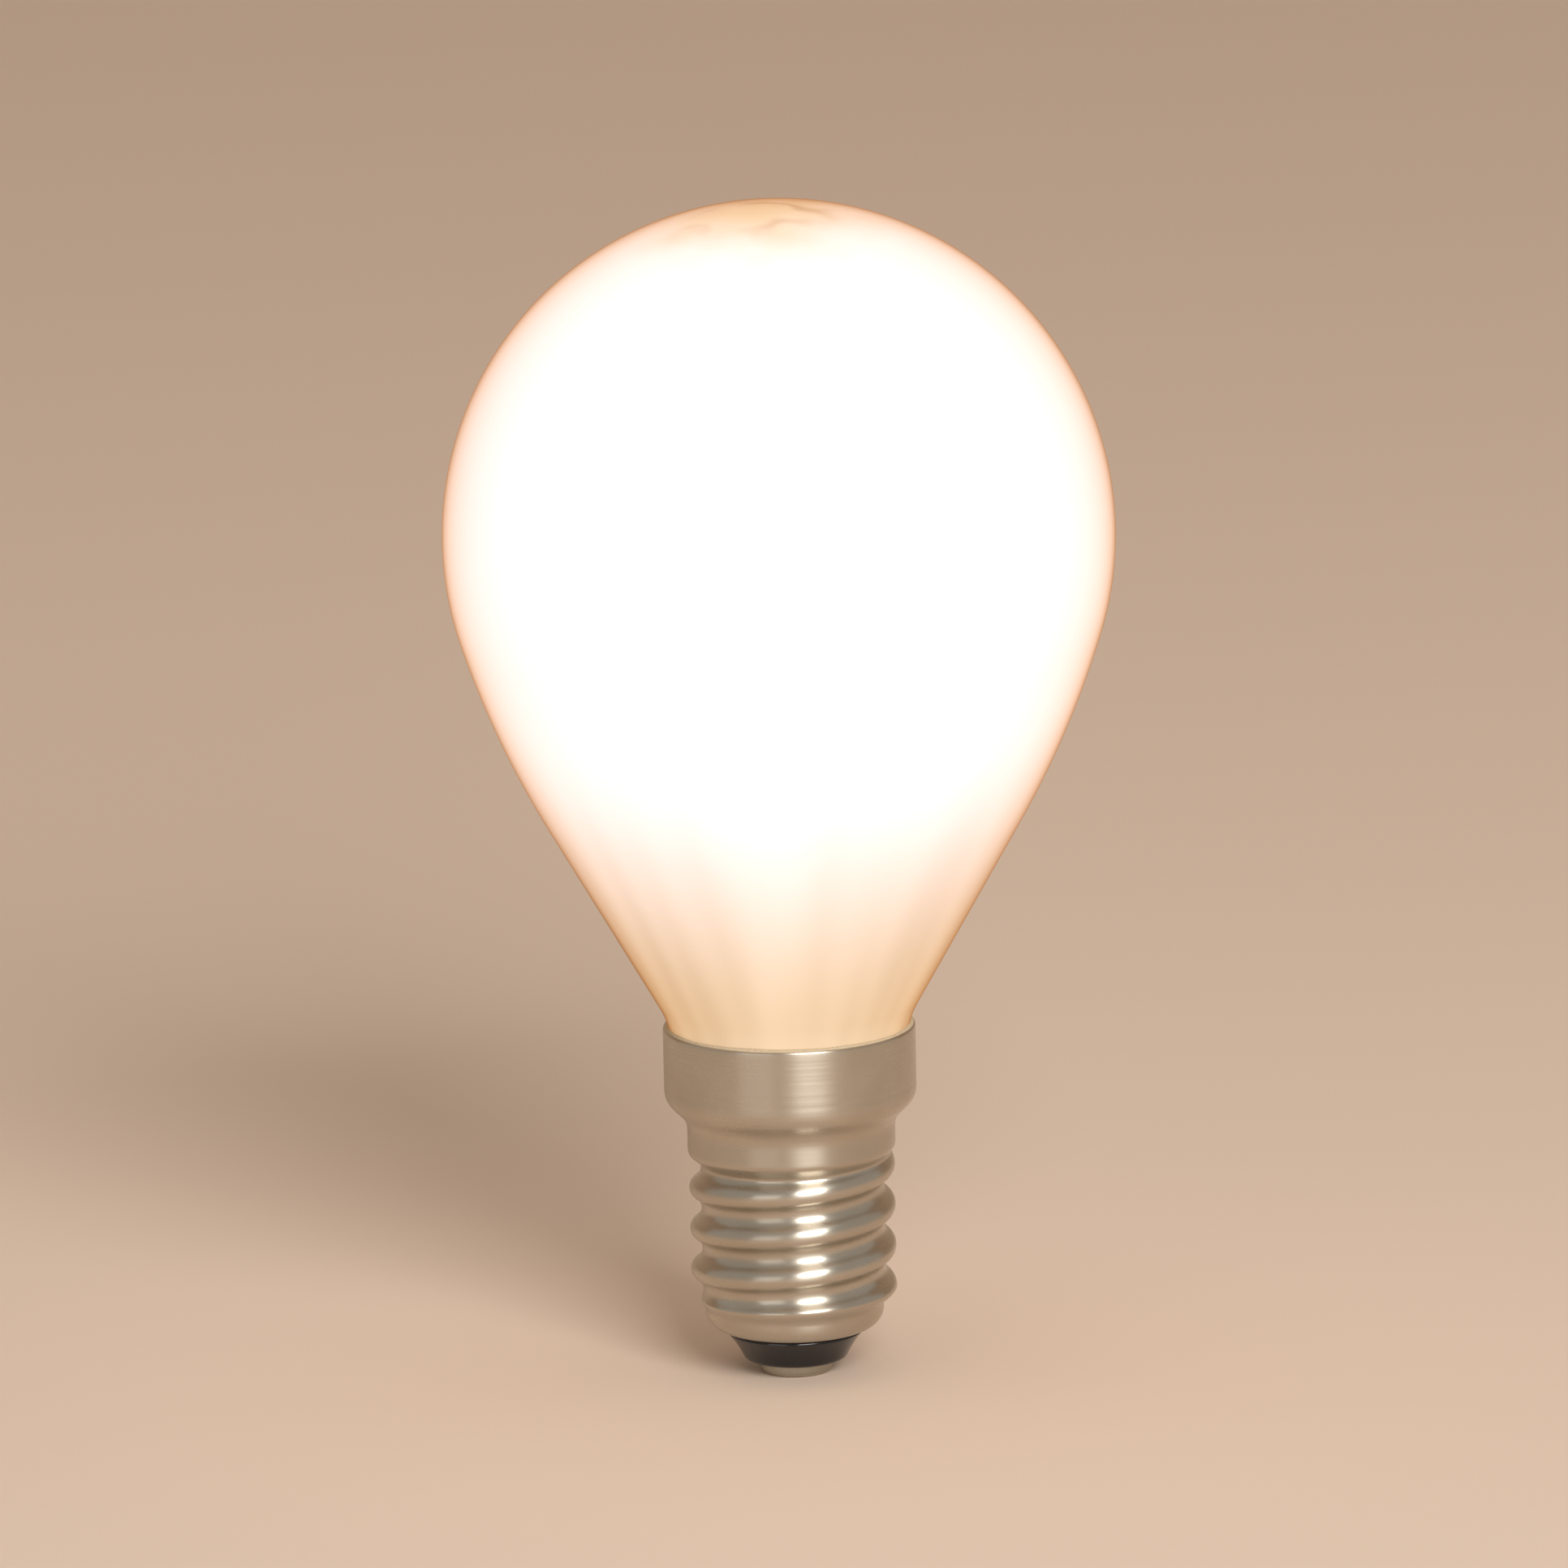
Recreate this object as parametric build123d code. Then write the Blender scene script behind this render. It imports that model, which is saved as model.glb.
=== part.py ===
"""Mini globe LED bulb with a small Edison screw cap, standing on its cap.

Millimetres, +Z up, the bulb's axis on Z, the origin in the middle of the centre contact's flat face.
Outlines are drawn as (radius, height) in the XZ plane and turned about Z.
"""

import os
from math import cos, radians, sin, sqrt, tan

from build123d import *

# Opal glass envelope
GLOBE_D = 45.0  # largest diameter, of the ball
FLANK_R = 64.0  # long arc that takes the ball into the cone
FLANK_START = 17.3  # degrees below the equator where that arc leaves the ball
NECK_TAPER = 29.8  # degrees between the cone and the axis
NECK_BLEND_R = 6.5  # hollow curve from the cone into the straight tail
CEMENT_GAP = 0.3  # between the tail and the skirt, all round
RIM_GAP = 0.08  # what is left of that gap at the skirt's rim

# Screw cap: the round thread of the E14 standard
THREAD_D = 13.89  # over the crests
THREAD_DEPTH = 0.8  # from crest to groove
THREAD_PITCH = 2.822
THREAD_LENGTH = 11.4
GROOVE_SINK = 0.04  # the thread's wave dips this far into the core, which leaves a narrow flat in the groove
RIDGE_FOOT = 0.5  # depth of the ridge's foot inside the core
RUN_OUT = 1.4  # length over which the thread fades at each end

# Screw cap: the rolled shell below and above its thread
LEAD_STEP = 0.12  # the lower end is this much inside the grooves
CORNER_R = 1.3  # rounded lower edge of the shell
LIP_WIDTH = 0.4  # flat of the lower edge, turned in round the insulator
LAND_STEP = 0.06  # the land is this much outside the crests
LAND_LENGTH = 1.1  # plain band above the thread
FLARE_LENGTH = 2.8  # S-shaped widening from the land to the skirt
SKIRT_D = 17.0
SKIRT_LENGTH = 4.3
SKIRT_WALL = 0.3

# Insulator, a plug of black glass
INSULATOR_HEIGHT = 2.2  # what shows below the shell
INSULATOR_TIP_D = 7.2
INSULATOR_FLANGE = 0.28  # how far the cone's base reaches over the shell's lip
INSULATOR_ROUND = 0.5  # edge round the tip
PLUG_LENGTH = 1.4  # the part inside the shell
PLUG_GAP = 0.1  # round the plug and above it

# Centre contact, a riveted button
CONTACT_D = 5.0
CONTACT_HEIGHT = 0.9
CONTACT_ROUND = 0.4
SHANK_D = 2.4
SHANK_GAP = 0.1  # round the shank and above it

# Radii that the pieces share
crest_r = THREAD_D / 2
root_r = crest_r - THREAD_DEPTH
lead_r = root_r - LEAD_STEP
land_r = crest_r + LAND_STEP
skirt_r = SKIRT_D / 2
skirt_bore_r = skirt_r - SKIRT_WALL
tail_r = skirt_bore_r - CEMENT_GAP
lip_r = lead_r - CORNER_R
shell_bore_r = lip_r - LIP_WIDTH
plug_r = shell_bore_r - PLUG_GAP

# Heights that the pieces share, from the contact's face up
tip_z = CONTACT_HEIGHT
lip_z = tip_z + INSULATOR_HEIGHT
plug_z = lip_z + PLUG_LENGTH
thread_z = lip_z + CORNER_R
land_z = thread_z + THREAD_LENGTH
flare_z = land_z + LAND_LENGTH
seat_z = flare_z + FLARE_LENGTH
rim_z = seat_z + SKIRT_LENGTH

# A cylinder that stands on the point where it is put
ON_FACE = (Align.CENTER, Align.CENTER, Align.MIN)


def polar(radius, degrees):
    """The point at this distance and angle from (0, 0)."""
    return Vector(radius * cos(radians(degrees)), radius * sin(radians(degrees)))


def turned(*outline):
    """The closed outline, drawn as (radius, height), turned about the bulb's axis."""
    return revolve(Plane.XZ * make_face(outline), Axis.Z)


def make_globe():
    """Ball, flank arc, cone, hollow neck curve and straight tail, each tangent to the next, in one piece.

    The outline grows upwards from the skirt's rim, which the neck passes with RIM_GAP to spare.
    """
    globe_r = GLOBE_D / 2
    narrowing = CEMENT_GAP - RIM_GAP
    tail_z = rim_z - sqrt(2 * NECK_BLEND_R * narrowing - narrowing**2)
    blend_centre = Vector(tail_r + NECK_BLEND_R, tail_z)
    cone_foot = blend_centre + polar(NECK_BLEND_R, 180 - NECK_TAPER)

    # the flank's centre and lower end as seen from the ball's centre, which the cone then carries
    flank_centre = polar(globe_r - FLANK_R, -FLANK_START)
    flank_end = flank_centre + polar(FLANK_R, -NECK_TAPER)
    cone_height = (flank_end.X - cone_foot.X) / tan(radians(NECK_TAPER))
    ball_centre = Vector(0, cone_foot.Y + cone_height - flank_end.Y)

    return turned(
        CenterArc(ball_centre, globe_r, -FLANK_START, 90 + FLANK_START),
        CenterArc(ball_centre + flank_centre, FLANK_R, -NECK_TAPER, NECK_TAPER - FLANK_START),
        Line(ball_centre + flank_end, cone_foot),
        CenterArc(blend_centre, NECK_BLEND_R, 180 - NECK_TAPER, NECK_TAPER),
        Polyline((tail_r, tail_z), (tail_r, seat_z), (0, seat_z), ball_centre + Vector(0, globe_r)),
    )


def make_ridge(start_z, height):
    """One crest with its two flanks, all arcs of one radius, wound up a right-hand helix."""
    quarter = THREAD_PITCH / 4
    wave_depth = THREAD_DEPTH + GROOVE_SINK
    wave_r = (quarter**2 + (wave_depth / 2) ** 2) / wave_depth
    flat_half = sqrt(2 * wave_r * GROOVE_SINK - GROOVE_SINK**2)
    foot_r = root_r - RIDGE_FOOT
    foot_half = 2 * quarter - flat_half / 2

    def wave(along):
        """The wave's point at this distance up the axis from the crest."""
        if abs(along) <= quarter:
            radius = crest_r - wave_r + sqrt(wave_r**2 - along**2)
        else:
            to_groove = 2 * quarter - abs(along)
            radius = crest_r - wave_depth + wave_r - sqrt(wave_r**2 - to_groove**2)
        return (radius, start_z + along)

    crest = ThreePointArc(wave(-quarter), wave(0), wave(quarter))
    middle = (quarter + foot_half) / 2
    flanks = [ThreePointArc(wave(s * quarter), wave(s * middle), wave(s * foot_half)) for s in (-1, 1)]
    foot = Polyline(
        wave(-foot_half),
        (foot_r, start_z - foot_half),
        (foot_r, start_z + foot_half),
        wave(foot_half),
    )
    helix = Helix(THREAD_PITCH, height, foot_r, center=(0, 0, start_z))
    return sweep(Plane.XZ * make_face([crest, *flanks, foot]), path=helix, is_frenet=True)


def make_thread():
    """A plain core with the ridge wound round it, cut so that the first crest grows out of the lower end."""
    start_z = thread_z - THREAD_PITCH / 2
    height = THREAD_LENGTH + THREAD_PITCH
    core = Pos(0, 0, start_z - THREAD_PITCH) * Cylinder(root_r, height + 2 * THREAD_PITCH, align=ON_FACE)
    lead_in = Polyline(
        (0, thread_z),
        (lead_r, thread_z),
        (land_r, thread_z + RUN_OUT),
        (land_r, land_z),
        (0, land_z),
        close=True,
    )
    return turned(lead_in) & (core + make_ridge(start_z, height))


def make_screw_cap():
    """The rolled shell: rounded lower end with the insulator's bore, thread, land, flare and skirt."""
    lower_end = turned(
        CenterArc((lip_r, thread_z), CORNER_R, -90, 90),
        Polyline((lead_r, thread_z), (0, thread_z), (0, lip_z), (lip_r, lip_z)),
    )
    flare_middle = (flare_z + seat_z) / 2
    upper_end = turned(
        # the last groove fades into the land
        Polyline((0, land_z - RUN_OUT), (lead_r, land_z - RUN_OUT), (land_r, land_z), (land_r, flare_z)),
        Bezier((land_r, flare_z), (land_r, flare_middle), (skirt_r, flare_middle), (skirt_r, seat_z)),
        Polyline(
            (skirt_r, seat_z),
            (skirt_r, rim_z),
            (skirt_bore_r, rim_z),
            (skirt_bore_r, seat_z),
            (0, seat_z),
            (0, land_z - RUN_OUT),
        ),
    )
    bore = Cylinder(shell_bore_r, PLUG_LENGTH + PLUG_GAP, align=ON_FACE)
    return lower_end + make_thread() + upper_end - Pos(0, 0, lip_z) * bore


def make_insulator():
    """Black glass cone whose flange seats on the shell's lip, with a plug inside and a bore for the shank."""
    bore_r = SHANK_D / 2 + SHANK_GAP
    tip_r = INSULATOR_TIP_D / 2
    outline = Polyline(
        (bore_r, tip_z),
        (tip_r, tip_z),
        (shell_bore_r + INSULATOR_FLANGE, lip_z),
        (plug_r, lip_z),
        (plug_r, plug_z),
        (bore_r, plug_z),
        close=True,
    )
    body = turned(outline)
    tip_edges = body.edges().filter_by(GeomType.CIRCLE).group_by(Axis.Z)[0]
    return fillet(tip_edges.sort_by(SortBy.RADIUS)[-1], INSULATOR_ROUND)


def make_centre_contact():
    """Flat button that seats on the insulator's tip, with its shank up the insulator's bore."""
    head = Cylinder(CONTACT_D / 2, CONTACT_HEIGHT, align=ON_FACE)
    head = fillet(head.edges().group_by(Axis.Z)[0], CONTACT_ROUND)
    return head + Cylinder(SHANK_D / 2, plug_z - SHANK_GAP, align=ON_FACE)


PIECES = {
    "globe": make_globe,
    "screw_cap": make_screw_cap,
    "insulator": make_insulator,
    "centre_contact": make_centre_contact,
}

os.makedirs("parts", exist_ok=True)
for name, make in PIECES.items():
    export_step(make(), f"parts/{name}.step")
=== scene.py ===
"""Mini globe LED bulb: an opal glass envelope that glows, on a small screw cap.

Lengths are metres in the bulb's own frame: +Z up its axis, the origin level with the contact's face.
Each piece is a grid about Z. Its outline of (radius, height) points runs with the solid on its left, from
the axis and back to it or round a closed ring. Only the thread and the cement bead change with the angle.
"""

import bpy
import numpy as np
from bpy.props import FloatProperty, FloatVectorProperty, IntProperty, PointerProperty
from mathutils import Matrix, Vector


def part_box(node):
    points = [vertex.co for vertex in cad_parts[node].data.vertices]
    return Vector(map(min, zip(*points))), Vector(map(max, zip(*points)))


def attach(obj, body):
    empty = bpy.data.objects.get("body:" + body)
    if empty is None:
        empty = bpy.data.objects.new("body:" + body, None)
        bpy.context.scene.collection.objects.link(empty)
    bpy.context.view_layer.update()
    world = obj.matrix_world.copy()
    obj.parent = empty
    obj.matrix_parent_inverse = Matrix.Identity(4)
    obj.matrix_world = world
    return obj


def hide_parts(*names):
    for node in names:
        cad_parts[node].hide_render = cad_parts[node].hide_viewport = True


bl_info = {
    "name": "Mini Globe LED Bulb",
    "version": (1, 0, 0),
    "blender": (4, 5, 0),
    "location": "View3D > Sidebar > Bulb",
    "description": "Builds a lit opal globe bulb with a screw cap around its CAD frame",
    "category": "Add Mesh",
}

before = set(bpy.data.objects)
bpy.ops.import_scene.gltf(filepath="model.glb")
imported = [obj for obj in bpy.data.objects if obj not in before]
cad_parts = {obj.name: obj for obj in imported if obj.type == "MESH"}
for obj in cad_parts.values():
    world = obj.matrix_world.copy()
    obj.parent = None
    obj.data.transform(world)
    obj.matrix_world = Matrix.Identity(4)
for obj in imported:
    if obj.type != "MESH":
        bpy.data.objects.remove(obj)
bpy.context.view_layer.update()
GLOBE_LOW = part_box("globe")[0]
CAP_LOW, CAP_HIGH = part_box("screw_cap")
TIP_LOW, TIP_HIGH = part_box("insulator")
CONTACT_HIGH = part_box("centre_contact")[1]

# Sockets of a Mix node that mixes colours: its three inputs and its output
MIX_SHARE, MIX_FROM, MIX_TO, MIX_OUT = 0, 6, 7, 2


def linear(hex_colour):
    """The linear red, green, blue and alpha of an sRGB hex colour such as "#F0E6D8"."""
    srgb = np.array([int(hex_colour[place : place + 2], 16) for place in (1, 3, 5)]) / 255
    rgb = np.where(srgb <= 0.04045, srgb / 12.92, ((srgb + 0.055) / 1.055) ** 2.4)
    return (*rgb.tolist(), 1.0)


def length(name, description, default):
    """A property that holds a length in metres."""
    return FloatProperty(name=name, description=description, default=default, unit="LENGTH", precision=5)


def position(name, description, default):
    """A property that holds a point in metres."""
    return FloatVectorProperty(
        name=name, description=description, default=default, subtype="TRANSLATION", precision=5
    )


def degrees(name, description, default):
    """A property that holds an angle, with its default given in degrees."""
    return FloatProperty(
        name=name, description=description, default=float(np.radians(default)), subtype="ANGLE"
    )


def colour(name, description, default):
    """A property that holds a colour, with its default given in sRGB hex."""
    return FloatVectorProperty(
        name=name, description=description, default=linear(default), size=4, min=0, max=1, subtype="COLOR"
    )


class GlobeSettings(bpy.types.PropertyGroup):
    """Sizes and colours of the opal glass envelope."""

    diameter: length("Diameter", "Largest diameter, of the ball", 0.045)
    flank_radius: length("Flank Radius", "Long arc that takes the ball into the cone", 0.064)
    flank_start: degrees("Flank Start", "Angle below the equator where that arc leaves the ball", 17.3)
    neck_taper: degrees("Neck Taper", "Angle between the cone and the axis", 29.8)
    neck_blend: length("Neck Blend", "Radius of the hollow curve from the cone into the tail", 0.0065)
    neck_swell: length("Neck Swell", "How far the neck is outside its tail at the cap's rim", 0.00022)
    tail_radius: length("Tail Radius", "Straight end of the neck, inside the skirt", 0.0079)
    seat: length("Seat", "Height of the tail's flat end", GLOBE_LOW.z)
    belly_glow: colour("Belly Glow", "Light of the ball, where the coating is even", "#FAF3FE")
    neck_glow: colour("Neck Glow", "Light of the neck, far from the light source", "#BEA586")
    fade_start: length("Fade Start", "Height where the neck starts to brighten", 0.0283)
    fade_end: length("Fade End", "Height where it is as bright as the ball", 0.0505)
    streak_glow: colour("Streak Glow", "Light of the neck where the coating is thin", "#CDB697")
    streak_width: length("Streak Width", "Width of a streak at the tail", 0.0030385)
    streak_length: length("Streak Length", "Height in which a streak fades into the next", 0.042735)
    streak_lift: length("Streak Lift", "How much lower down a thin streak is as bright", 0.006)
    streak_turn: degrees("Streak Turn", "Turn of the streaks about the axis", 16.043)
    apex_glow: colour("Apex Glow", "Light of the thick coating round the pip", "#E4CFB4")
    wrinkle_glow: colour("Wrinkle Glow", "Light of the fine wrinkles in it", "#BF9B73")
    pip: position("Pip", "Middle of the thick coating, near the top", (-0.0007, -0.0024, 0.0799))
    patch_reach: length("Patch Reach", "Distance from the pip where that coating has thinned out", 0.0105)
    patch_break: length("Patch Break", "How far its edge goes in and out", 0.006)
    wall: colour("Wall", "Tint of the glass wall, deeper where it is seen at a slant", "#F5EFE8")
    coating: colour("Coating", "Colour of the coating under outside light", "#7D7973")
    glow: FloatProperty(name="Glow", description="Strength of the light from inside", default=1.36, min=0)


class CapSettings(bpy.types.PropertyGroup):
    """Sizes and colours of the rolled screw cap and the cement at its rim."""

    thread_diameter: length("Thread Diameter", "Over the crests", 0.01389)
    thread_depth: length("Thread Depth", "From crest to groove", 0.0008)
    thread_pitch: length("Thread Pitch", "Climb in one turn", 0.002822)
    thread_start: length("Thread Start", "Height where the thread begins", 0.0044)
    thread_end: length("Thread End", "Height where the thread ends", 0.0158)
    run_out: length("Run-out", "Length over which the thread fades at each end", 0.0014)
    lead_radius: length("Lead Radius", "Rounded lower end, inside the grooves", 0.006025)
    corner_radius: length("Corner Radius", "Rounded lower edge", 0.0013)
    lip: length("Lip", "Height of the lower edge", CAP_LOW.z)
    lip_round: length("Lip Round", "Rounded edge of the insulator's hole", 0.0001)
    bore_radius: length("Bore Radius", "Hole for the insulator", 0.004325)
    bore_roof: length("Bore Roof", "Height of the hole's end", 0.0046)
    land_radius: length("Land Radius", "Plain band above the thread", 0.007005)
    land_end: length("Land End", "Height where the band starts to widen", 0.0169)
    skirt_start: length("Skirt Start", "Height where the skirt is at its full width", GLOBE_LOW.z)
    skirt_radius: length("Skirt Radius", "Outside of the skirt", 0.0085)
    wall: length("Wall", "Sheet thickness at the rim", 0.0003)
    rim: length("Rim", "Height of the skirt's rim", CAP_HIGH.z)
    bead_radius: length("Bead Radius", "Half the thickness of the cement bead", 0.00017)
    bead_waves: length("Bead Waves", "How much that changes round the bead", 0.00004)
    bead_out: length("Bead Out", "Distance of the bead's middle outside the skirt's inner wall", 0.00001)
    bead_sink: length("Bead Sink", "Distance of the bead's middle below the rim", 0.00002)
    nickel: colour("Nickel", "Plating of the shell", "#C9C3B7")
    nickel_cloud: colour("Nickel Cloud", "Plating where it is dulled by handling", "#B9AF9F")
    cement: colour("Cement", "Bead of cement between glass and rim", "#CDBDA2")
    cement_grit: colour("Cement Grit", "Grains in the cement", "#A8967A")


class TipSettings(bpy.types.PropertyGroup):
    """Sizes and colours of the insulator and the centre contact."""

    insulator_tip: length("Insulator Tip", "Radius of the small end", 0.0036)
    insulator_base: length("Insulator Base", "Radius of the cone's wide end", 0.004605)
    insulator_round: length("Insulator Round", "Rounded edge of the small end", 0.0005)
    insulator_low: length("Insulator Low", "Height of the small end", TIP_LOW.z)
    insulator_high: length("Insulator High", "Height of the plug's end", TIP_HIGH.z)
    flange_round: length("Flange Round", "Rounded edge of the wide end", 0.0003)
    draw_in: length("Draw-in", "How far the cone's side is hollowed", 0.00008)
    plug_radius: length("Plug Radius", "Part inside the cap", 0.004225)
    bore_radius: length("Bore Radius", "Hole for the contact's shank", 0.0013)
    contact_radius: length("Contact Radius", "Button", 0.0025)
    contact_top: length("Contact Top", "Height where the button meets the insulator", TIP_LOW.z)
    contact_round: length("Contact Round", "Rounded edge of the button", 0.0004)
    shank_radius: length("Shank Radius", "Rivet shank", 0.0012)
    shank_top: length("Shank Top", "Height of the shank's end", CONTACT_HIGH.z)
    dish: length("Dish", "Depth of the pressed hollow in the button's face", 0.00012)
    dish_radius: length("Dish Radius", "Radius of that hollow", 0.00126)
    black_glass: colour("Black Glass", "Pressed glass of the insulator", "#0B0A0C")
    glass_swirl: colour("Glass Swirl", "Smoky swirls in it", "#1A1618")
    tin: colour("Tin", "Tinned face of the contact", "#BDB8AD")
    tin_blotch: colour("Tin Blotch", "Dull blotches in the tin", "#A79F8E")


class StageSettings(bpy.types.PropertyGroup):
    """Floor, light and camera."""

    floor: colour("Floor", "Paper of the floor and backdrop", "#E2CBB6")
    floor_side: length("Floor Side", "From the bulb to each side of the floor", 3.0)
    floor_front: length("Floor Front", "From the bulb to the floor's front edge", 3.0)
    backdrop: length("Backdrop", "From the bulb to the backdrop", 1.6)
    backdrop_top: length("Backdrop Top", "Height of the backdrop", 3.0)
    backdrop_bend: length("Backdrop Bend", "Radius of the bend from the floor into the backdrop", 0.7)
    sky: colour("Sky", "Light from all round", "#FFF6EC")
    sky_level: FloatProperty(name="Sky Level", description="Strength of that light", default=0.45, min=0)
    box_size: length("Box Size", "Side of each square soft box", 0.5)
    box_target: position("Box Target", "Point that the soft boxes face", (0, 0, 0.045))
    key_place: position("Key Place", "Middle of the main soft box", (0.30, -0.85, 0.55))
    key_watts: FloatProperty(name="Key", description="Power of the main soft box", default=9.5, min=0)
    fill_place: position("Fill Place", "Middle of the other soft box", (-0.45, -0.75, 0.20))
    fill_watts: FloatProperty(name="Fill", description="Power of the other soft box", default=0.6, min=0)
    eye: position("Eye", "Place of the camera, about 12 degrees above the bulb", (0, -0.941, 0.2455))
    eye_target: position("Eye Target", "Point that the camera looks at", (0, 0, 0.0405))
    lens: FloatProperty(name="Lens", description="Focal length", default=330, unit="CAMERA")
    sensor: FloatProperty(name="Sensor", description="Width of the sensor", default=36, unit="CAMERA")
    roll: degrees("Roll", "Lean of the picture to the left", -1.2)
    sides: IntProperty(name="Sides", description="Points round a large turned piece", default=256, min=24)


def arc(centre, radius, first, last, count):
    """Points centre + radius * (cos a, sin a) for a run of angles a from first to last, in radians."""
    a = np.linspace(first, last, count)
    return np.asarray(centre) + radius * np.stack([np.cos(a), np.sin(a)], axis=1)


def polar(radius, angle):
    """The point radius * (cos angle, sin angle)."""
    return radius * np.array([np.cos(angle), np.sin(angle)])


def smooth_step(share):
    """3 s^2 - 2 s^3 with s held between 0 and 1: level at both ends."""
    share = np.clip(share, 0, 1)
    return share**2 * (3 - 2 * share)


def angles(sides):
    """Evenly spaced angles of one full turn."""
    return np.linspace(0, 2 * np.pi, sides, endpoint=False)


def turned(radius, height, sides):
    """Grid x = r cos a, y = r sin a, z = h, with a station in each row and one angle a in each column."""
    radius, height, a = np.broadcast_arrays(radius, height, angles(sides))
    return np.stack([radius * np.cos(a), radius * np.sin(a), height], axis=-1)


def carried_round(outline, sides):
    """An outline of (radius, height) points carried about Z."""
    return turned(outline[:, :1], outline[:, 1:], sides)


def skin(grid):
    """Points and faces of a grid whose columns close up.

    Where its end rows lie on the axis each becomes one point, with triangles round it. Otherwise the last
    row joins the first, as in a ring.
    """
    rows, sides = grid.shape[:2]
    column = np.arange(sides)
    beside = np.roll(column, -1)
    if np.allclose(grid[[0, -1], :, :2], 0, atol=1e-9):
        points = np.vstack([grid[1:-1].reshape(-1, 3), grid[0, 0], grid[-1, 0]])
        here = sides * np.arange(rows - 3)[:, None]
        above = here + sides
        top_row = sides * (rows - 3)
        foot = np.full_like(column, len(points) - 2)
        head = np.full_like(column, len(points) - 1)
        fans = [(foot, beside, column), (top_row + column, top_row + beside, head)]
    else:
        points = grid.reshape(-1, 3)
        here = sides * np.arange(rows)[:, None]
        above = np.roll(here, -1, axis=0)
        fans = []
    quads = np.stack([here + column, here + beside, above + beside, above + column], axis=-1)
    faces = quads.reshape(-1, 4).tolist()
    for fan in fans:
        faces += np.stack(fan, axis=-1).tolist()
    return points.tolist(), faces


def add_mesh(name, points, faces, material, crease=35):
    """A smooth object at the origin, with edges sharper than crease degrees left crisp."""
    mesh = bpy.data.meshes.new(name)
    mesh.from_pydata(points, [], faces)
    mesh.shade_smooth()
    mesh.set_sharp_from_angle(angle=float(np.radians(crease)))
    mesh.materials.append(material)
    piece = bpy.data.objects.new(name, mesh)
    bpy.context.scene.collection.objects.link(piece)
    return piece


def add_turned(name, grid, material, node=None):
    """Puts a turned grid into the scene as a piece that rides on the bulb, and may replace a CAD node."""
    piece = add_mesh(name, *skin(grid), material)
    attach(piece, "root")
    if node:
        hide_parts(node)


def add_node(tree, kind, inputs=None, **settings):
    """Adds a node with its settings. An input that is a node's output is linked, and others are set."""
    node = tree.nodes.new(kind)
    for name, value in settings.items():
        setattr(node, name, value)
    for socket, value in (inputs or {}).items():
        if isinstance(value, bpy.types.NodeSocket):
            tree.links.new(value, node.inputs[socket])
        else:
            node.inputs[socket].default_value = value
    return node


def new_material(name):
    """An empty node material, with its tree and the object coordinates that its patterns read."""
    material = bpy.data.materials.new(name)
    material.use_nodes = True
    tree = material.node_tree
    tree.nodes.clear()
    return material, tree, add_node(tree, "ShaderNodeTexCoord").outputs["Object"]


def show(tree, inputs):
    """Ends a material in one Principled shader."""
    shader = add_node(tree, "ShaderNodeBsdfPrincipled", inputs)
    add_node(tree, "ShaderNodeOutputMaterial", {"Surface": shader.outputs[0]})


def neck_light(tree, place, look):
    """Colour of the light from ball and neck: the neck is streaked and brightens upwards into the ball.

    The streaks run straight down the cone: their noise reads the direction from the axis, and hardly the
    height. It is turned so that the palest streak is in front.
    """
    level = add_node(
        tree,
        "ShaderNodeMapping",
        {"Vector": place, "Rotation": (0, 0, look.streak_turn), "Scale": (1, 1, 0)},
    )
    around = add_node(tree, "ShaderNodeVectorMath", {0: level.outputs[0]}, operation="NORMALIZE")
    streak_scale = look.tail_radius / look.streak_width
    climb_scale = (0, 0, 1 / (look.streak_length * streak_scale))
    climb = add_node(tree, "ShaderNodeVectorMath", {0: place, 1: climb_scale}, operation="MULTIPLY")
    streak_place = add_node(tree, "ShaderNodeVectorMath", {0: around.outputs[0], 1: climb.outputs[0]})
    streaks = add_node(
        tree,
        "ShaderNodeTexNoise",
        {"Vector": streak_place.outputs[0], "Scale": streak_scale, "Detail": 1.0},
    ).outputs[0]
    thin = add_node(
        tree,
        "ShaderNodeMapRange",
        {"Value": streaks, "From Min": 0.3, "From Max": 0.72},
        interpolation_type="SMOOTHSTEP",
    )
    neck_tone = add_node(
        tree,
        "ShaderNodeMix",
        {MIX_SHARE: thin.outputs[0], MIX_FROM: look.neck_glow, MIX_TO: look.streak_glow},
        data_type="RGBA",
    )

    height = add_node(tree, "ShaderNodeSeparateXYZ", {0: place}).outputs["Z"]
    lifted = add_node(
        tree, "ShaderNodeMath", {0: streaks, 1: look.streak_lift, 2: height}, operation="MULTIPLY_ADD"
    )
    belly_share = add_node(
        tree,
        "ShaderNodeMapRange",
        {"Value": lifted.outputs[0], "From Min": look.fade_start, "From Max": look.fade_end},
        interpolation_type="SMOOTHSTEP",
    )
    light = add_node(
        tree,
        "ShaderNodeMix",
        {
            MIX_SHARE: belly_share.outputs[0],
            MIX_FROM: neck_tone.outputs[MIX_OUT],
            MIX_TO: look.belly_glow,
        },
        data_type="RGBA",
    )
    return light.outputs[MIX_OUT]


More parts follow.
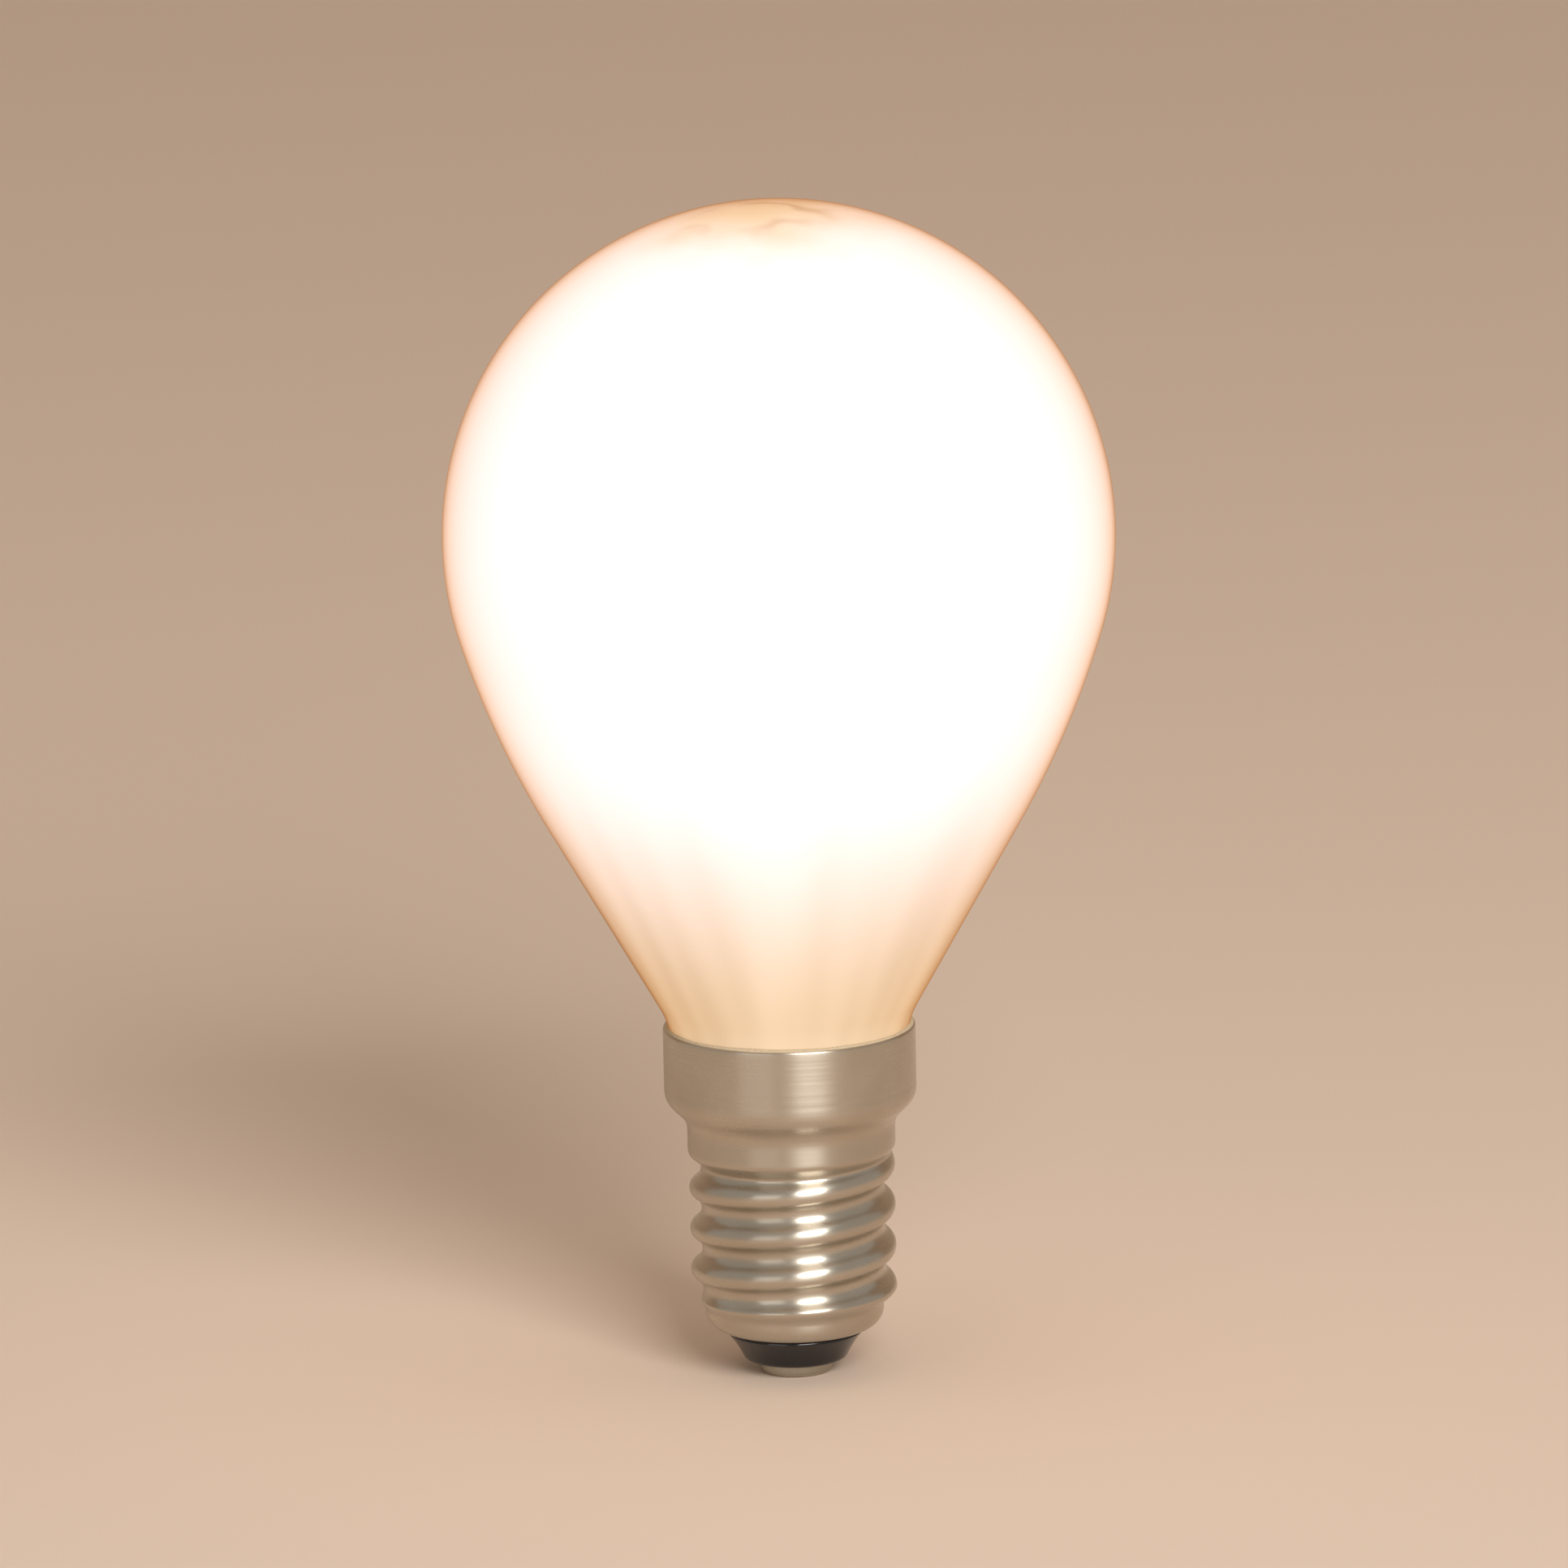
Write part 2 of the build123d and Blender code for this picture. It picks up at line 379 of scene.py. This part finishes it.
def apex_light(tree, place, look, light):
    """A light's colour with the thick coating round the pip laid over it.

    The coating thins out with the distance from the pip, and noise breaks its edge into patches 4 mm
    across. It shrank into fine wrinkles, deepest at the pip: the lines along which a noise with steps of
    5 mm crosses its middle value.
    """
    patches = add_node(tree, "ShaderNodeTexNoise", {"Vector": place, "Scale": 1 / 0.004, "Detail": 2.0})
    reach = add_node(tree, "ShaderNodeVectorMath", {0: place, 1: look.pip}, operation="DISTANCE")
    thinning = add_node(
        tree,
        "ShaderNodeMath",
        {0: patches.outputs[0], 1: -look.patch_break, 2: reach.outputs["Value"]},
        operation="MULTIPLY_ADD",
    )
    middle_break = look.patch_break / 2
    thick = add_node(
        tree,
        "ShaderNodeMapRange",
        {
            "Value": thinning.outputs[0],
            "From Min": -middle_break,
            "From Max": look.patch_reach - middle_break,
            "To Min": 1.0,
            "To Max": 0.0,
        },
        interpolation_type="SMOOTHSTEP",
    ).outputs[0]

    wrinkles = add_node(tree, "ShaderNodeTexNoise", {"Vector": place, "Scale": 1 / 0.005, "Detail": 1.5})
    fold = add_node(tree, "ShaderNodeMath", {0: wrinkles.outputs[0], 1: 0.5}, operation="PINGPONG")
    crease = add_node(
        tree,
        "ShaderNodeMapRange",
        {"Value": fold.outputs[0], "From Min": 0.4, "From Max": 0.5},
        interpolation_type="SMOOTHSTEP",
    )
    deep = add_node(tree, "ShaderNodeMath", {0: thick, 1: 2.5}, operation="POWER")
    wrinkled = add_node(
        tree, "ShaderNodeMath", {0: crease.outputs[0], 1: deep.outputs[0]}, operation="MULTIPLY"
    )
    tone = add_node(
        tree,
        "ShaderNodeMix",
        {MIX_SHARE: wrinkled.outputs[0], MIX_FROM: look.apex_glow, MIX_TO: look.wrinkle_glow},
        data_type="RGBA",
    )
    laid_over = add_node(
        tree,
        "ShaderNodeMix",
        {MIX_SHARE: thick, MIX_FROM: light, MIX_TO: tone.outputs[MIX_OUT]},
        data_type="RGBA",
    )
    return laid_over.outputs[MIX_OUT]


def opal_glass(look):
    """Blown glass with a white powder coating inside, lit by filaments in the ball.

    The eye sees an even white ball under clear gloss, with an amber limb where it looks through more of
    the wall. The neck is further from the filaments, so it turns cream and peach, streaked where the
    coating ran down, and patches of thick coating dim the top.
    """
    material, tree, place = new_material("Opal glass")
    light = apex_light(tree, place, look, neck_light(tree, place, look))

    # blown glass isn't quite even: waves about 9 mm long bend its reflections
    waves = add_node(tree, "ShaderNodeTexNoise", {"Vector": place, "Scale": 1 / 0.009, "Detail": 0.0})
    bump = add_node(
        tree, "ShaderNodeBump", {"Strength": 0.05, "Distance": 0.001, "Height": waves.outputs[0]}
    )

    # the tinted coat stands for the wall: an IOR of almost 1 lets the slant count in full, with no gloss
    show(
        tree,
        {
            "Base Color": look.coating,
            "Roughness": 0.06,
            "IOR": 1.5,
            "Normal": bump.outputs[0],
            "Coat Weight": 1.0,
            "Coat Roughness": 0.06,
            "Coat IOR": 1.003,
            "Coat Tint": look.wall,
            "Emission Color": light,
            "Emission Strength": look.glow,
        },
    )
    return material


def nickel_plate(look):
    """Brass sheet, deep drawn, thread rolled and nickel plated.

    The eye sees a soft warm mirror with fine rings from the rollers and faint clouds of handling.
    """
    material, tree, place = new_material("Nickel plated brass")

    # rings from the rollers: really about 0.05 mm apart, drawn 0.3 mm apart so that they show
    rings_place = add_node(
        tree, "ShaderNodeMapping", {"Vector": place, "Scale": (1 / 0.3, 1 / 0.3, 1 / 0.0003)}
    )
    rings = add_node(
        tree, "ShaderNodeTexNoise", {"Vector": rings_place.outputs[0], "Scale": 1.0, "Detail": 3.0}
    ).outputs[0]

    # clouds about 5 mm across
    clouds = add_node(
        tree, "ShaderNodeTexNoise", {"Vector": place, "Scale": 1 / 0.005, "Detail": 4.0}
    ).outputs[0]
    tone = add_node(
        tree,
        "ShaderNodeMix",
        {MIX_SHARE: clouds, MIX_FROM: look.nickel, MIX_TO: look.nickel_cloud},
        data_type="RGBA",
    )
    marks = add_node(tree, "ShaderNodeMath", {0: rings, 1: clouds}, operation="ADD")
    gloss = add_node(
        tree,
        "ShaderNodeMapRange",
        {"Value": marks.outputs[0], "From Min": 0.6, "From Max": 1.4, "To Min": 0.22, "To Max": 0.38},
    )
    bump = add_node(tree, "ShaderNodeBump", {"Strength": 0.15, "Distance": 0.00003, "Height": rings})
    rolled = add_node(tree, "ShaderNodeTangent", direction_type="RADIAL", axis="Z")
    show(
        tree,
        {
            "Base Color": tone.outputs[MIX_OUT],
            "Metallic": 1.0,
            "Roughness": gloss.outputs[0],
            "Anisotropic": 0.8,
            "Anisotropic Rotation": 0.25,
            "Tangent": rolled.outputs[0],
            "Normal": bump.outputs[0],
        },
    )
    return material


def lamp_cement(look):
    """Baked lamp cement: a dull, sandy bead, with grit about 0.15 mm across."""
    material, tree, place = new_material("Lamp cement")
    grit = add_node(
        tree, "ShaderNodeTexNoise", {"Vector": place, "Scale": 1 / 0.00015, "Detail": 2.0}
    ).outputs[0]
    tone = add_node(
        tree,
        "ShaderNodeMix",
        {MIX_SHARE: grit, MIX_FROM: look.cement, MIX_TO: look.cement_grit},
        data_type="RGBA",
    )
    bump = add_node(tree, "ShaderNodeBump", {"Strength": 0.5, "Distance": 0.00005, "Height": grit})
    show(tree, {"Base Color": tone.outputs[MIX_OUT], "Roughness": 0.9, "Normal": bump.outputs[0]})
    return material


def black_glass(look):
    """Pressed black glass: a deep wet black with faint smoky swirls and the slight ripple of the press.

    The swirls are about 3 mm across and the ripple about 1.2 mm.
    """
    material, tree, place = new_material("Black pressed glass")
    swirls = add_node(
        tree,
        "ShaderNodeTexNoise",
        {"Vector": place, "Scale": 1 / 0.003, "Detail": 3.0, "Distortion": 1.5},
    ).outputs[0]
    tone = add_node(
        tree,
        "ShaderNodeMix",
        {MIX_SHARE: swirls, MIX_FROM: look.black_glass, MIX_TO: look.glass_swirl},
        data_type="RGBA",
    )
    gloss = add_node(tree, "ShaderNodeMapRange", {"Value": swirls, "To Min": 0.08, "To Max": 0.22})
    ripple = add_node(tree, "ShaderNodeTexNoise", {"Vector": place, "Scale": 1 / 0.0012, "Detail": 1.0})
    bump = add_node(
        tree, "ShaderNodeBump", {"Strength": 0.15, "Distance": 0.0001, "Height": ripple.outputs[0]}
    )
    show(
        tree,
        {
            "Base Color": tone.outputs[MIX_OUT],
            "Roughness": gloss.outputs[0],
            "IOR": 1.55,
            "Normal": bump.outputs[0],
        },
    )
    return material


def tinned_brass(look):
    """Brass dipped in tin: a soft grey metal, with blotches about 1 mm across where the tin froze."""
    material, tree, place = new_material("Tinned brass")
    blotches = add_node(
        tree, "ShaderNodeTexNoise", {"Vector": place, "Scale": 1 / 0.0011, "Detail": 4.0}
    ).outputs[0]
    tone = add_node(
        tree,
        "ShaderNodeMix",
        {MIX_SHARE: blotches, MIX_FROM: look.tin, MIX_TO: look.tin_blotch},
        data_type="RGBA",
    )
    gloss = add_node(
        tree,
        "ShaderNodeMapRange",
        {"Value": blotches, "From Min": 0.3, "From Max": 0.7, "To Min": 0.22, "To Max": 0.42},
    )
    bump = add_node(tree, "ShaderNodeBump", {"Strength": 0.3, "Distance": 0.00005, "Height": blotches})
    show(
        tree,
        {
            "Base Color": tone.outputs[MIX_OUT],
            "Metallic": 1.0,
            "Roughness": gloss.outputs[0],
            "Normal": bump.outputs[0],
        },
    )
    return material


def studio_paper(look):
    """Matt backdrop paper: an even pale tone with a faint tooth about 2 mm across."""
    material, tree, place = new_material("Backdrop paper")
    tooth = add_node(tree, "ShaderNodeTexNoise", {"Vector": place, "Scale": 1 / 0.002, "Detail": 2.0})
    bump = add_node(
        tree, "ShaderNodeBump", {"Strength": 0.05, "Distance": 0.0002, "Height": tooth.outputs[0]}
    )
    show(tree, {"Base Color": look.floor, "Roughness": 0.9, "Normal": bump.outputs[0]})
    return material


def globe_outline(sizes, rim):
    """Flat tail end, straight tail, hollow neck curve, cone, flank arc and ball, tangent from the tail up.

    The hollow curve starts so far below the cap's rim that the neck has swollen by neck_swell at the rim.
    The cone's foot lies on that curve at the taper's angle. The flank's centre lies on the line from the
    ball's centre through the point where it leaves the ball. The cone's length sets the ball's height.
    """
    ball = sizes.diameter / 2
    tail_top = rim - np.sqrt(2 * sizes.neck_blend * sizes.neck_swell - sizes.neck_swell**2)
    blend_centre = np.array([sizes.tail_radius + sizes.neck_blend, tail_top])
    cone_foot = blend_centre + polar(sizes.neck_blend, np.pi - sizes.neck_taper)
    flank_centre = polar(ball - sizes.flank_radius, -sizes.flank_start)
    flank_end = flank_centre + polar(sizes.flank_radius, -sizes.neck_taper)
    cone_height = (flank_end[0] - cone_foot[0]) / np.tan(sizes.neck_taper)
    ball_centre = np.array([0, cone_foot[1] + cone_height - flank_end[1]])
    return np.vstack(
        [
            [(0, sizes.seat), (sizes.tail_radius / 2, sizes.seat), (sizes.tail_radius, sizes.seat)],
            arc(blend_centre, sizes.neck_blend, np.pi, np.pi - sizes.neck_taper, 24),
            np.linspace(cone_foot, ball_centre + flank_end, 32)[1:-1],
            arc(ball_centre + flank_centre, sizes.flank_radius, -sizes.neck_taper, -sizes.flank_start, 30),
            arc(ball_centre, ball, -sizes.flank_start, np.pi / 2, 110)[1:-1],
            [(0, ball_centre[1] + ball)],
        ]
    )


def thread_radius(sizes, angle, height):
    """Radius of the threaded shell at each angle and height.

    A wave of equal arcs climbs one pitch in each turn: a crest arc within a quarter pitch of the crest
    line and a hollow arc beyond it. Over the run-out at the lower end it grows out of the lead radius, and
    at the upper end it sinks into the land, both by a smooth step.
    """
    crest = sizes.thread_diameter / 2
    quarter = sizes.thread_pitch / 4
    wave_radius = (quarter**2 + (sizes.thread_depth / 2) ** 2) / sizes.thread_depth
    turns = (height - sizes.thread_start) / sizes.thread_pitch + 0.5 - angle / (2 * np.pi)
    along = np.abs(turns - np.round(turns)) * sizes.thread_pitch
    to_groove = 2 * quarter - along
    bulge = crest - wave_radius + np.sqrt(wave_radius**2 - np.minimum(along, quarter) ** 2)
    hollow_arc = np.sqrt(wave_radius**2 - np.minimum(to_groove, quarter) ** 2)
    hollow = crest - sizes.thread_depth + wave_radius - hollow_arc
    wave = np.where(along < quarter, bulge, hollow)

    grown = smooth_step((height - sizes.thread_start) / sizes.run_out)
    left = smooth_step((sizes.thread_end - height) / sizes.run_out)
    radius = sizes.lead_radius + (wave - sizes.lead_radius) * grown
    return sizes.land_radius + (radius - sizes.land_radius) * left


def flare_curve(sizes):
    """The S from the land to the skirt: a cubic Bezier curve whose handles end at half its height.

    Both handles stand upright, so its radius is a smooth step.
    """
    share = np.linspace(0, 1, 28)
    middle = (sizes.land_end + sizes.skirt_start) / 2
    radius = sizes.land_radius + (sizes.skirt_radius - sizes.land_radius) * smooth_step(share)
    height = (1 - share) ** 3 * sizes.land_end + share**3 * sizes.skirt_start
    return np.stack([radius, height + 3 * share * (1 - share) * middle], axis=1)


def cap_grid(sizes, sides):
    """Bore, lower edge, thread, land, flare, skirt, rounded rim and cup, as one grid about Z.

    Below and above the thread, outlines of lines and curves are carried round. Between them the radius
    follows both the angle and the height.
    """
    lip_radius = sizes.lead_radius - sizes.corner_radius
    bore_edge = (sizes.bore_radius + sizes.lip_round, sizes.lip + sizes.lip_round)
    lower = np.vstack(
        [
            [(share * sizes.bore_radius, sizes.bore_roof) for share in (0, 0.5, 1)],
            arc(bore_edge, sizes.lip_round, np.pi, 1.5 * np.pi, 4),
            arc((lip_radius, sizes.lip + sizes.corner_radius), sizes.corner_radius, -np.pi / 2, 0, 18),
        ]
    )

    height = np.linspace(sizes.thread_start, sizes.thread_end, 122)[1:-1, None]
    thread = turned(thread_radius(sizes, angles(sides), height), height, sides)

    flare = flare_curve(sizes)
    half_wall = sizes.wall / 2
    skirt_bore = sizes.skirt_radius - sizes.wall
    upper = np.vstack(
        [
            np.linspace((sizes.land_radius, sizes.thread_end), flare[0], 8)[:-1],
            flare,
            np.linspace(flare[-1], (sizes.skirt_radius, sizes.rim - half_wall), 14)[1:-1],
            arc((sizes.skirt_radius - half_wall, sizes.rim - half_wall), half_wall, 0, np.pi, 13),
            [(share * skirt_bore, sizes.skirt_start) for share in (1, 0.5, 0)],
        ]
    )
    return np.concatenate([carried_round(lower, sides), thread, carried_round(upper, sides)])


def bead_grid(sizes, sides):
    """A low ring of cement in the corner between the glass and the rim.

    Its section is a small circle about the corner, and 3, 7 and 16 waves to the turn change its radius.
    """
    angle = angles(sides)
    waves = 0.5 * np.sin(3 * angle + 0.7) + 0.3 * np.sin(7 * angle + 2.1) + 0.2 * np.sin(16 * angle)
    radius = sizes.bead_radius + sizes.bead_waves * waves
    section = angles(12)[:, None]
    out = sizes.skirt_radius - sizes.wall + sizes.bead_out + radius * np.cos(section)
    up = sizes.rim - sizes.bead_sink + radius * np.sin(section)
    return turned(out, up, sides)


def insulator_outline(sizes, seat):
    """A cone from the rounded tip to a flange on the cap's lip, then the plug in the cap and its bore.

    The cone's side is drawn in a little, by half a sine wave between its two ends.
    """
    tip = sizes.insulator_tip
    base = sizes.insulator_base
    low = sizes.insulator_low
    tip_round = sizes.insulator_round
    flange_round = sizes.flange_round
    lean = np.arctan2(base - tip, seat - low)
    edge = arc((tip - tip_round, low + tip_round), tip_round, -np.pi / 2, -lean, 10)
    share = np.linspace(0, 1, 16)
    side = np.linspace(edge[-1], (base, seat - flange_round), len(share))
    side[:, 0] -= sizes.draw_in * np.sin(np.pi * share)
    return np.vstack(
        [
            np.linspace((sizes.bore_radius, low), edge[0], 8)[:-1],
            edge,
            side[1:],
            arc((base - flange_round, seat - flange_round), flange_round, 0, np.pi / 2, 6)[1:],
            [(sizes.plug_radius, seat), (sizes.plug_radius, sizes.insulator_high)],
            [(sizes.bore_radius, sizes.insulator_high)],
        ]
    )


def contact_outline(sizes):
    """A button with a rounded edge and a shallow dish pressed into its face, on a rivet shank.

    The dish is half a cosine wave, deepest on the axis.
    """
    face = sizes.contact_radius - sizes.contact_round
    across = np.linspace(0, face, 20)[:, None]
    depth = sizes.dish * (1 + np.cos(np.pi * np.minimum(across / sizes.dish_radius, 1))) / 2
    return np.vstack(
        [
            np.hstack([across, depth])[:-1],
            arc((face, sizes.contact_round), sizes.contact_round, -np.pi / 2, 0, 10),
            [(sizes.contact_radius, sizes.contact_top), (sizes.shank_radius, sizes.contact_top)],
            [(sizes.shank_radius, sizes.shank_top), (0, sizes.shank_top)],
        ]
    )


def sweep_grid(look):
    """Floor, quarter-round bend and backdrop: one outline in Y and Z, carried along X."""
    bend = look.backdrop_bend
    outline = np.vstack(
        [
            [(-look.floor_front, 0), (0, 0)],
            arc((look.backdrop - bend, bend), bend, -np.pi / 2, 0, 24),
            [(look.backdrop, look.backdrop_top)],
        ]
    )
    across = np.linspace(-look.floor_side, look.floor_side, 3)
    x, y = np.broadcast_arrays(across, outline[:, :1])
    z = np.broadcast_to(outline[:, 1:], x.shape)
    return np.stack([x, y, z], axis=-1)


def add_sweep(look):
    """Puts the paper sweep into the scene, with a face between each four neighbours of its grid."""
    grid = sweep_grid(look)
    rows, columns = grid.shape[:2]
    corner = (columns * np.arange(rows - 1)[:, None] + np.arange(columns - 1)).reshape(-1, 1)
    faces = corner + np.array([0, 1, columns + 1, columns])
    floor = add_mesh("sweep", grid.reshape(-1, 3).tolist(), faces.tolist(), studio_paper(look))


def add_aimed(name, data, place, target, roll=0.0):
    """Puts a camera or lamp at a place where it looks at a target, leaning by roll."""
    turn = (Vector(target) - Vector(place)).to_track_quat("-Z", "Y").to_matrix().to_4x4()
    thing = bpy.data.objects.new(name, data)
    thing.matrix_world = Matrix.Translation(place) @ turn @ Matrix.Rotation(roll, 4, "Z")
    bpy.context.scene.collection.objects.link(thing)
    return thing


class BULB_OT_globe(bpy.types.Operator):
    """Turn the opal glass envelope"""

    bl_idname = "bulb.globe"
    bl_label = "Opal Globe"

    def execute(self, context):
        scene = context.scene
        sizes = scene.bulb_globe
        grid = carried_round(globe_outline(sizes, scene.bulb_cap.rim), scene.bulb_stage.sides)
        add_turned("opal_globe", grid, opal_glass(sizes), "globe")
        return {"FINISHED"}


class BULB_OT_cap(bpy.types.Operator):
    """Roll the threaded cap and lay the cement bead at its rim"""

    bl_idname = "bulb.cap"
    bl_label = "Screw Cap"

    def execute(self, context):
        sizes = context.scene.bulb_cap
        sides = context.scene.bulb_stage.sides
        shell = cap_grid(sizes, sides)
        add_turned("threaded_cap", shell, nickel_plate(sizes), "screw_cap")
        add_turned("cement_bead", bead_grid(sizes, sides), lamp_cement(sizes))
        return {"FINISHED"}


class BULB_OT_tip(bpy.types.Operator):
    """Press the insulator and rivet the centre contact"""

    bl_idname = "bulb.tip"
    bl_label = "Insulator and Contact"

    def execute(self, context):
        scene = context.scene
        sizes = scene.bulb_tip
        sides = scene.bulb_stage.sides // 2
        insulator = carried_round(insulator_outline(sizes, scene.bulb_cap.lip), sides)
        add_turned("glass_insulator", insulator, black_glass(sizes), "insulator")
        contact = carried_round(contact_outline(sizes), sides)
        add_turned("contact_button", contact, tinned_brass(sizes), "centre_contact")
        return {"FINISHED"}


class BULB_OT_stage(bpy.types.Operator):
    """Set the floor, the soft boxes and the camera"""

    bl_idname = "bulb.stage"
    bl_label = "Stage"

    def execute(self, context):
        scene = context.scene
        look = scene.bulb_stage
        add_sweep(look)

        boxes = (("key", look.key_place, look.key_watts), ("fill", look.fill_place, look.fill_watts))
        for name, place, watts in boxes:
            lamp = bpy.data.lights.new(name, "AREA")
            lamp.size = look.box_size
            lamp.energy = watts
            add_aimed(name, lamp, place, look.box_target)

        world = bpy.data.worlds.new("studio")
        world.use_nodes = True
        sky = world.node_tree.nodes["Background"]
        sky.inputs["Color"].default_value = look.sky
        sky.inputs["Strength"].default_value = look.sky_level
        scene.world = world

        eye = bpy.data.cameras.new("eye")
        eye.lens = look.lens
        eye.sensor_width = look.sensor
        scene.camera = add_aimed("eye", eye, look.eye, look.eye_target, look.roll)
        scene.view_settings.view_transform = "Standard"
        return {"FINISHED"}


class BULB_PT_panel(bpy.types.Panel):
    """Lists the bulb's pieces with their sizes and colours"""

    bl_idname = "BULB_PT_panel"
    bl_label = "Mini Globe LED Bulb"
    bl_space_type = "VIEW_3D"
    bl_region_type = "UI"
    bl_category = "Bulb"

    def draw(self, context):
        for operator, group in STEPS.items():
            box = self.layout.box()
            box.operator(operator)
            settings = getattr(context.scene, group)
            for name in settings.bl_rna.properties.keys():
                if name not in {"rna_type", "name"}:
                    box.prop(settings, name)


STEPS = {
    "bulb.globe": "bulb_globe",
    "bulb.cap": "bulb_cap",
    "bulb.tip": "bulb_tip",
    "bulb.stage": "bulb_stage",
}
GROUPS = {
    "bulb_globe": GlobeSettings,
    "bulb_cap": CapSettings,
    "bulb_tip": TipSettings,
    "bulb_stage": StageSettings,
}
CLASSES = (*GROUPS.values(), BULB_OT_globe, BULB_OT_cap, BULB_OT_tip, BULB_OT_stage, BULB_PT_panel)


def register():
    """Registers the classes and gives the scene its settings."""
    for cls in CLASSES:
        bpy.utils.register_class(cls)
    for name, group in GROUPS.items():
        setattr(bpy.types.Scene, name, PointerProperty(type=group))


def unregister():
    """Takes the settings from the scene and the classes from Blender."""
    for name in GROUPS:
        delattr(bpy.types.Scene, name)
    for cls in reversed(CLASSES):
        bpy.utils.unregister_class(cls)


def main():
    register()
    bpy.ops.bulb.globe()
    bpy.ops.bulb.cap()
    bpy.ops.bulb.tip()
    bpy.ops.bulb.stage()


if __name__ == "__main__":
    main()
